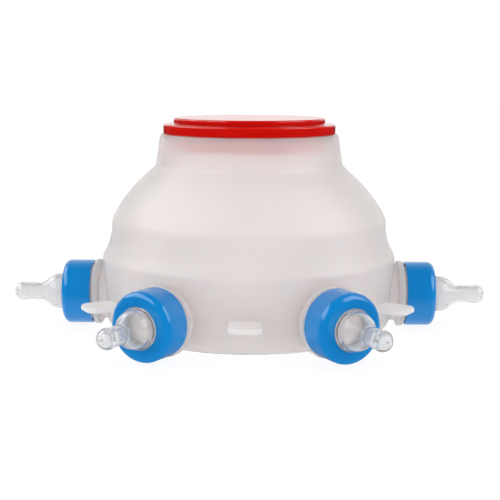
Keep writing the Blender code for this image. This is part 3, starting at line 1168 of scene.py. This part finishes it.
@dataclass(frozen=True)
class Softbox:
    """A soft lamp that faces the vessel, placed round from the camera's side, to the right.

    It shows in the gloss where it is mirrored, and gives light where it lights.
    """

    name: str
    azimuth: float
    elevation: float
    distance: float
    width: float
    height: float
    power: float
    mirrored: bool = True
    lights: bool = True

    def build(self, middle: Vector) -> bpy.types.Object:
        """Hang the lamp so that it faces a point."""
        data = bpy.data.lights.new(self.name, "AREA")
        data.shape = "RECTANGLE"
        data.size, data.size_y = self.width, self.height
        data.energy = self.power
        lamp = bpy.data.objects.new(self.name, data)
        turn, rise = math.radians(self.azimuth), math.radians(self.elevation)
        way = Vector(
            (math.sin(turn) * math.cos(rise), -math.cos(turn) * math.cos(rise), math.sin(rise))
        )
        lamp.location = middle + way * self.distance
        lamp.rotation_euler = way.to_track_quat("Z", "Y").to_euler()
        lamp.visible_camera = False
        lamp.visible_glossy = self.mirrored
        lamp.visible_diffuse = lamp.visible_transmission = self.lights
        bpy.context.scene.collection.objects.link(lamp)
        return lamp


@dataclass
class Studio:
    """A pale floor, a white surround, soft lamps and the photograph's camera."""

    camera_distance: float = 0.66468
    camera_height: float = 0.1574
    camera_turn: float = math.radians(1.0)
    camera_yaw: float = -0.001
    camera_pitch: float = -0.163
    camera_roll: float = 0.004
    lens: float = 76.73
    sensor: float = 36.0
    middle: Vector = field(default_factory=lambda: Vector((0.0, 0.0, 0.055)))
    floor_reach: float = 6.0
    floor_squares: int = 8
    floor_grey: float = 0.95
    floor_glow: float = 1.05
    floor_seen_share: float = 0.86
    floor_lit_share: float = 0.85
    front_near: float = 0.03
    front_far: float = -0.14
    side_near: float = 0.22
    side_far: float = 0.50
    front_drop: float = 0.95
    surround: float = 0.74
    through: float = 0.66
    mirrored_from: float = 0.1
    mirrored_to: float = 1.0
    mirrored_least: float = 0.04
    lamps: tuple[Softbox, ...] = (
        Softbox("key_left", -62.0, 26.0, 1.2, 1.40, 0.85, 2.8, mirrored=False),
        Softbox("fill_right", 62.0, 24.0, 1.2, 1.10, 0.85, 2.3, mirrored=False),
        Softbox("overhead", 180.0, 74.0, 1.1, 1.00, 0.80, 0.4, mirrored=False),
        Softbox("back_left", -130.0, 12.0, 1.5, 1.00, 0.80, 2.0, mirrored=False),
        Softbox("back_right", 130.0, 12.0, 1.5, 1.00, 0.80, 2.0, mirrored=False),
        Softbox("gloss_left", -80.0, 40.0, 1.2, 1.90, 0.75, 15.0, lights=False),
        Softbox("gloss_right", 72.0, 33.0, 1.2, 0.90, 0.90, 9.0, lights=False),
    )

    def build(self) -> None:
        """Make the whole studio."""
        self._floor()
        self._world()
        self._camera()
        for lamp in self.lamps:
            lamp.build(self.middle)

    def _floor(self) -> None:
        """A wide floor that reads white and still takes the object's shadow."""
        bm = bmesh.new()
        squares = self.floor_squares
        bmesh.ops.create_grid(bm, x_segments=squares, y_segments=squares, size=self.floor_reach)
        mesh = bpy.data.meshes.new("studio_floor")
        bm.to_mesh(mesh)
        bm.free()
        floor = bpy.data.objects.new("studio_floor", mesh)
        bpy.context.scene.collection.objects.link(floor)
        material = bpy.data.materials.new("pale_floor")
        material.use_nodes = True
        mesh.materials.append(material)
        self._floor_shader(NodeSheet(material.node_tree))

    def _floor_shader(self, sheet: NodeSheet) -> None:
        """Mostly a white glow, partly matt, and dimmer in front and far aside in the gloss."""
        sight = sheet.add("LightPath")
        camera, through = sight.outputs["Is Camera Ray"], sight.outputs["Is Transmission Ray"]
        glossy, diffuse = sight.outputs["Is Glossy Ray"], sight.outputs["Is Diffuse Ray"]
        seen = sheet.math("MAXIMUM", camera, glossy)
        seen_share = sheet.math("MULTIPLY", seen, self.floor_seen_share)
        lit_share = sheet.math("MULTIPLY", diffuse, self.floor_lit_share)
        share = sheet.math("MAXIMUM", seen_share, lit_share)
        mirrored = sheet.math("SUBTRACT", glossy, through)
        place = sheet.add("SeparateXYZ")
        sheet.link(sheet.add("TexCoord").outputs["Object"], place.inputs[0])
        ahead = sheet.graded(
            place.outputs["Y"], (self.front_near, self.front_far), (0.0, self.front_drop)
        )
        reach = sheet.math("ABSOLUTE", place.outputs["X"], 0.0)
        aside = sheet.graded(reach, (self.side_near, self.side_far), (0.0, self.front_drop))
        drop = sheet.math("MAXIMUM", ahead, aside)
        level = sheet.math("SUBTRACT", 1.0, sheet.math("MULTIPLY", mirrored, drop))
        matt = sheet.add("BsdfDiffuse")
        glow = sheet.add("Emission")
        sheet.link(sheet.math("MULTIPLY", level, self.floor_grey), matt.inputs["Color"])
        sheet.link(sheet.math("MULTIPLY", level, self.floor_glow), glow.inputs["Strength"])
        floor = sheet.mixed(share, matt.outputs["BSDF"], glow.outputs["Emission"])
        sheet.link(floor, sheet.add("OutputMaterial").inputs["Surface"])

    def _world(self) -> None:
        """White to the camera, plain levels as light and through plastic, and graded in the gloss."""
        world = bpy.data.worlds.new("white_surround")
        bpy.context.scene.world = world
        world.use_nodes = True
        sheet = NodeSheet(world.node_tree)
        sight = sheet.add("LightPath")
        way = sheet.add("SeparateXYZ")
        sheet.link(sheet.add("TexCoord").outputs["Generated"], way.inputs[0])
        mirrored = sheet.graded(
            way.outputs["Y"], (self.mirrored_from, self.mirrored_to), (self.mirrored_least, 1.0)
        )
        shader = self._backdrop(sheet, self.surround)
        for ray, level in (("Glossy", mirrored), ("Transmission", self.through), ("Camera", 1.0)):
            shader = sheet.mixed(sight.outputs[f"Is {ray} Ray"], shader, self._backdrop(sheet, level))
        sheet.link(shader, sheet.add("OutputWorld").inputs["Surface"])

    @staticmethod
    def _backdrop(sheet: NodeSheet, level: float | bpy.types.NodeSocket) -> bpy.types.NodeSocket:
        """A white background of that strength."""
        backdrop = sheet.add("Background", {"Color": rgba((1.0,) * 3)})
        sheet.feed(level, backdrop.inputs["Strength"])
        return backdrop.outputs["Background"]

    def _camera(self) -> None:
        """The photograph's camera, a little above the lid and looking slightly down."""
        data = bpy.data.cameras.new("photo_camera")
        data.lens = self.lens
        data.sensor_width = self.sensor
        camera = bpy.data.objects.new("photo_camera", data)
        place = Vector((0.0, -self.camera_distance, self.camera_height))
        turn = Matrix.Rotation(self.camera_turn, 4, "Z")
        look = (
            Matrix.Rotation(self.camera_yaw, 4, "Z")
            @ Matrix.Rotation(math.pi / 2 + self.camera_pitch, 4, "X")
            @ Matrix.Rotation(self.camera_roll, 4, "Z")
        )
        camera.matrix_world = turn @ Matrix.Translation(place) @ look
        bpy.context.scene.collection.objects.link(camera)
        bpy.context.scene.camera = camera
        bpy.context.scene.view_settings.view_transform = "Standard"


def main() -> None:
    """Build every piece and the studio."""
    logging.basicConfig(level=logging.INFO, format="%(name)s: %(message)s")
    line = PortLine.measured()
    Vessel(line).build()
    ScrewRing(line).build()
    Teat(line).build()
    Lid().build()
    Gasket().build()
    Studio().build()


if __name__ == "__main__":
    main()
